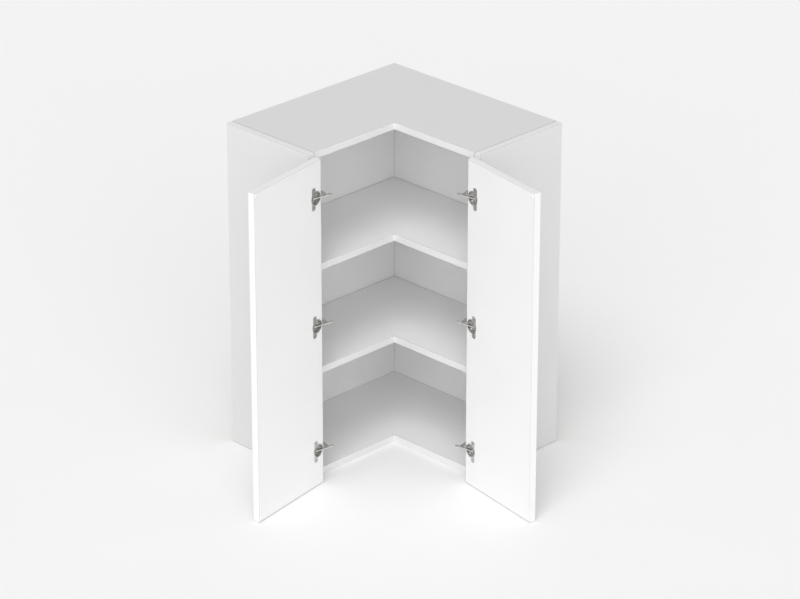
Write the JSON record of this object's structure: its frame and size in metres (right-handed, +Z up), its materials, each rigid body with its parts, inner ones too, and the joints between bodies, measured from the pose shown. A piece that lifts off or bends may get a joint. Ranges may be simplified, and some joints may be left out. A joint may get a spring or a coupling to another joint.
{
  "type": "corner wall cabinet",
  "caption": "L-shaped kitchen wall cabinet for an inside corner, with open shelves inside and flat doors that swing wide open on concealed hinges.",
  "frame": {"origin": "where both room walls meet the plane of the cabinet's underside", "axes": "+Z up; one arm of the L runs along +X on the wall Y = 0, the other along -Y on the wall X = 0"},
  "size_m": [0.8697, 0.8697, 0.9],
  "materials": {
    "carcase_board": "light grey melamine on chipboard, satin",
    "carcase_edge": "light grey edge banding, satin",
    "back_board": "light grey melamine on fibreboard, satin",
    "batten_wood": "planed softwood",
    "door_front": "white melamine on chipboard, satin",
    "door_edge": "white edge banding, satin",
    "bumper_rubber": "clear soft rubber",
    "pin_nickel": "nickel-plated steel",
    "hinge_steel": "nickel-plated pressed steel",
    "screw_steel": "zinc-plated steel",
    "hanger_plastic": "white moulded plastic",
    "rail_steel": "galvanised steel",
    "cam_zinc": "die-cast zinc",
    "dowel_wood": "beech"
  },
  "bodies": {
    "carcase": {"bottom_panel": "carcase_board", "bottom_panel_edge_band": "carcase_edge", "left_back_panel": "back_board", "left_cam_bolts": "cam_zinc", "left_cam_housings": "cam_zinc", "left_dowels": "dowel_wood", "left_end_panel": "carcase_board", "left_end_panel_edge_band": "carcase_edge", "left_hanger_cover": "hanger_plastic", "left_hanger_hook": "rail_steel", "left_hanger_housing": "hanger_plastic", "left_hanger_screws": "screw_steel", "left_hinge_arm_pins": "screw_steel", "left_hinge_arm_screws": "screw_steel", "left_hinge_arms": "hinge_steel", "left_hinge_plate_screws": "screw_steel", "left_hinge_plates": "hinge_steel", "left_wall_rail": "rail_steel", "lower_shelf": "carcase_board", "lower_shelf_edge_band": "carcase_edge", "rear_corner_batten": "batten_wood", "right_back_panel": "back_board", "right_cam_bolts": "cam_zinc", "right_cam_housings": "cam_zinc", "right_dowels": "dowel_wood", "right_end_panel": "carcase_board", "right_end_panel_edge_band": "carcase_edge", "right_hanger_cover": "hanger_plastic", "right_hanger_hook": "rail_steel", "right_hanger_housing": "hanger_plastic", "right_hanger_screws": "screw_steel", "right_hinge_arm_pins": "screw_steel", "right_hinge_arm_screws": "screw_steel", "right_hinge_arms": "hinge_steel", "right_hinge_plate_screws": "screw_steel", "right_hinge_plates": "hinge_steel", "right_wall_rail": "rail_steel", "shelf_pins": "pin_nickel", "top_panel": "carcase_board", "top_panel_edge_band": "carcase_edge", "upper_shelf": "carcase_board", "upper_shelf_edge_band": "carcase_edge"},
    "right_door": {"right_door": "door_front", "right_door_edge_band": "door_edge", "right_door_bumpers": "bumper_rubber", "right_hinge_cups": "hinge_steel", "right_hinge_cup_screws": "screw_steel", "right_hinge_cup_pins": "screw_steel"},
    "right_arm_links": {"right_hinge_arm_links": "hinge_steel", "right_hinge_knuckle_pins": "screw_steel"},
    "right_cup_links": {"right_hinge_cup_links": "hinge_steel"},
    "left_door": {"left_door": "door_front", "left_door_edge_band": "door_edge", "left_door_bumpers": "bumper_rubber", "left_hinge_cups": "hinge_steel", "left_hinge_cup_screws": "screw_steel", "left_hinge_cup_pins": "screw_steel"},
    "left_arm_links": {"left_hinge_arm_links": "hinge_steel", "left_hinge_knuckle_pins": "screw_steel"},
    "left_cup_links": {"left_hinge_cup_links": "hinge_steel"}
  },
  "joints": [
    {"name": "right_door_swing", "type": "hinge", "parent": "carcase", "child": "right_door", "pos_m": [0.5985, -0.32, 0], "axis": [0, 0, 1], "range_deg": [-170, 0]},
    {"name": "right_arm_link_turn", "type": "hinge", "parent": "carcase", "child": "right_arm_links", "pos_m": [0.5765, -0.306, 0], "axis": [0, 0, 1], "range_deg": [-170, 0]},
    {"name": "right_cup_link_turn", "type": "hinge", "parent": "right_door", "child": "right_cup_links", "pos_m": [0.62364, -0.33865, 0], "axis": [0, 0, 1], "range_deg": [0, 85]},
    {"name": "left_door_swing", "type": "hinge", "parent": "carcase", "child": "left_door", "pos_m": [0.32, -0.5985, 0], "axis": [0, 0, -1], "range_deg": [-170, 0]},
    {"name": "left_arm_link_turn", "type": "hinge", "parent": "carcase", "child": "left_arm_links", "pos_m": [0.306, -0.5765, 0], "axis": [0, 0, -1], "range_deg": [-170, 0]},
    {"name": "left_cup_link_turn", "type": "hinge", "parent": "left_door", "child": "left_cup_links", "pos_m": [0.33865, -0.62364, 0], "axis": [0, 0, -1], "range_deg": [0, 85]}
  ],
  "couplings": [
    {"joint": "right_arm_link_turn", "follows": "right_door_swing", "ratio": 1},
    {"joint": "right_cup_link_turn", "follows": "right_door_swing", "ratio": -0.5},
    {"joint": "left_arm_link_turn", "follows": "left_door_swing", "ratio": 1},
    {"joint": "left_cup_link_turn", "follows": "left_door_swing", "ratio": -0.5}
  ]
}
